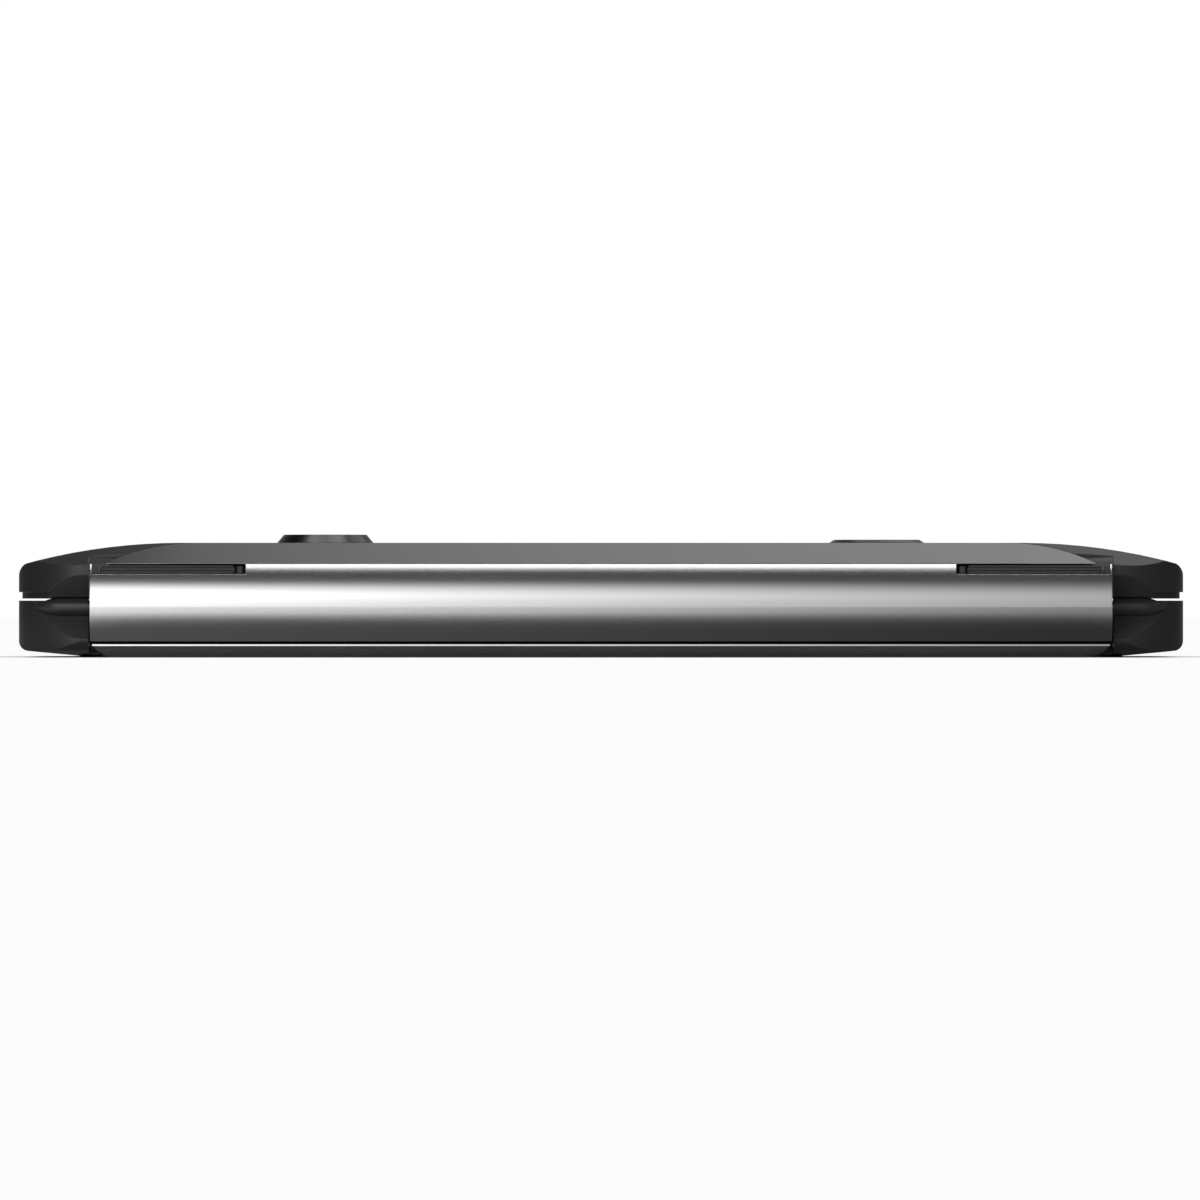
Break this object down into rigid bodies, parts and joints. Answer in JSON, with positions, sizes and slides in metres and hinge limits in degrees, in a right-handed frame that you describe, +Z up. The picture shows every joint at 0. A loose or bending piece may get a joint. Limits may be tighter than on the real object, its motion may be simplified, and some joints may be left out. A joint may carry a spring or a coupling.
{
  "type": "clamshell pocket computer",
  "caption": "Landscape clamshell pocket computer: a keyboard base and a wide display lid joined by a full-width metal spine, with dark moulded end caps and metal covers.",
  "frame": {"origin": "centre of the closed device's footprint, on the surface it rests on", "axes": "+X along the hinge to the user's right, +Y to the hinge side, +Z up"},
  "size_m": [0.1714, 0.0794, 0.0181],
  "materials": {
    "black_plastic": "fine soft-touch texture",
    "cover_metal": "dark satin anodised",
    "spine_metal": "satin, drawn along its length",
    "keyboard_frame": "fine matte",
    "key_plastic": "matte caps, pale legends",
    "rubber": "matte",
    "steel": "plain",
    "dark_screws": "black zinc",
    "light_metal": "milled",
    "circuit_board": "solder mask",
    "cell_wrap": "foil pouch",
    "black_moulding": "plain",
    "dark_metal": "satin dark",
    "screen_glass": "black glass",
    "flash_lens": "clear",
    "panel": "dark display"
  },
  "bodies": {
    "base": {"base_housing": "black_plastic", "base_plate": "cover_metal", "foot_pads": "rubber", "base_screws": "dark_screws", "keyboard_frame": "keyboard_frame", "keyboard_backplate": "steel", "dome_sheet": "rubber", "battery_pack": "cell_wrap", "port_board_left": "circuit_board", "port_board_right": "circuit_board", "usb_port_left": "steel", "usb_port_right": "steel", "audio_jack": "black_moulding", "speaker_left": "black_moulding", "speaker_right": "black_moulding", "speaker_grille_left": "dark_metal", "speaker_grille_right": "dark_metal", "hinge_beam": "light_metal", "hinge_bush_left": "steel", "hinge_bush_right": "steel", "hinge_cap_left": "black_plastic", "hinge_cap_right": "black_plastic", "base_magnets": "steel"},
    "lid": {"lid_housing": "black_plastic", "lid_plate": "cover_metal", "spine_shell": "spine_metal", "spine_plug_left": "light_metal", "spine_plug_right": "light_metal", "hinge_pin_left": "steel", "hinge_pin_right": "steel", "foot_strip_left": "rubber", "foot_strip_right": "rubber", "display_glass": "screen_glass", "display_panel": "panel", "display_frame": "light_metal", "main_board": "circuit_board", "shield_cans": "steel", "switches": "black_moulding", "camera_module": "black_moulding", "camera_ring": "dark_metal", "camera_lens": "screen_glass", "camera_flash": "flash_lens", "cover_glass": "screen_glass", "cover_panel": "panel", "front_camera": "black_moulding", "earpiece": "black_moulding", "card_reader": "steel", "vibration_motor": "steel", "lid_magnets": "steel", "lid_screws": "dark_screws"},
    "number_row": {"number_keys": "key_plastic"},
    "upper_row": {"upper_letter_keys": "key_plastic"},
    "middle_row": {"middle_letter_keys": "key_plastic"},
    "enter": {"enter_key": "key_plastic"},
    "lower_row": {"lower_letter_keys": "key_plastic"},
    "bottom_row": {"bottom_keys": "key_plastic"},
    "space": {"space_bar": "key_plastic"},
    "fingerprint_button": {"fingerprint_button": "dark_metal"},
    "side_button": {"side_button": "black_moulding"},
    "card_tray": {"card_tray": "dark_metal"}
  },
  "joints": [
    {"name": "lid_hinge", "type": "hinge", "parent": "base", "child": "lid", "pos_m": [0, 0.03345, 0.0074], "axis": [-1, 0, 0], "range_deg": [0, 120]},
    {"name": "number_row_press", "type": "slide", "parent": "base", "child": "number_row", "axis": [0, 0, -1], "range_m": [0, 0.0009], "stiffness_N_per_m": 7200},
    {"name": "upper_row_press", "type": "slide", "parent": "base", "child": "upper_row", "axis": [0, 0, -1], "range_m": [0, 0.0009], "stiffness_N_per_m": 7200},
    {"name": "middle_row_press", "type": "slide", "parent": "base", "child": "middle_row", "axis": [0, 0, -1], "range_m": [0, 0.0009], "stiffness_N_per_m": 6600},
    {"name": "enter_press", "type": "slide", "parent": "base", "child": "enter", "axis": [0, 0, -1], "range_m": [0, 0.0009], "stiffness_N_per_m": 600},
    {"name": "lower_row_press", "type": "slide", "parent": "base", "child": "lower_row", "axis": [0, 0, -1], "range_m": [0, 0.0009], "stiffness_N_per_m": 7200},
    {"name": "bottom_row_press", "type": "slide", "parent": "base", "child": "bottom_row", "axis": [0, 0, -1], "range_m": [0, 0.0009], "stiffness_N_per_m": 4200},
    {"name": "space_press", "type": "slide", "parent": "base", "child": "space", "axis": [0, 0, -1], "range_m": [0, 0.0009], "stiffness_N_per_m": 600},
    {"name": "fingerprint_button_press", "type": "slide", "parent": "lid", "child": "fingerprint_button", "axis": [0, 0, -1], "range_m": [0, 0.0003], "stiffness_N_per_m": 3000},
    {"name": "side_button_press", "type": "slide", "parent": "lid", "child": "side_button", "axis": [1, 0, 0], "range_m": [0, 0.0004], "stiffness_N_per_m": 3000},
    {"name": "card_tray_slide", "type": "slide", "parent": "lid", "child": "card_tray", "axis": [1, 0, 0], "range_m": [0, 0.014]}
  ]
}
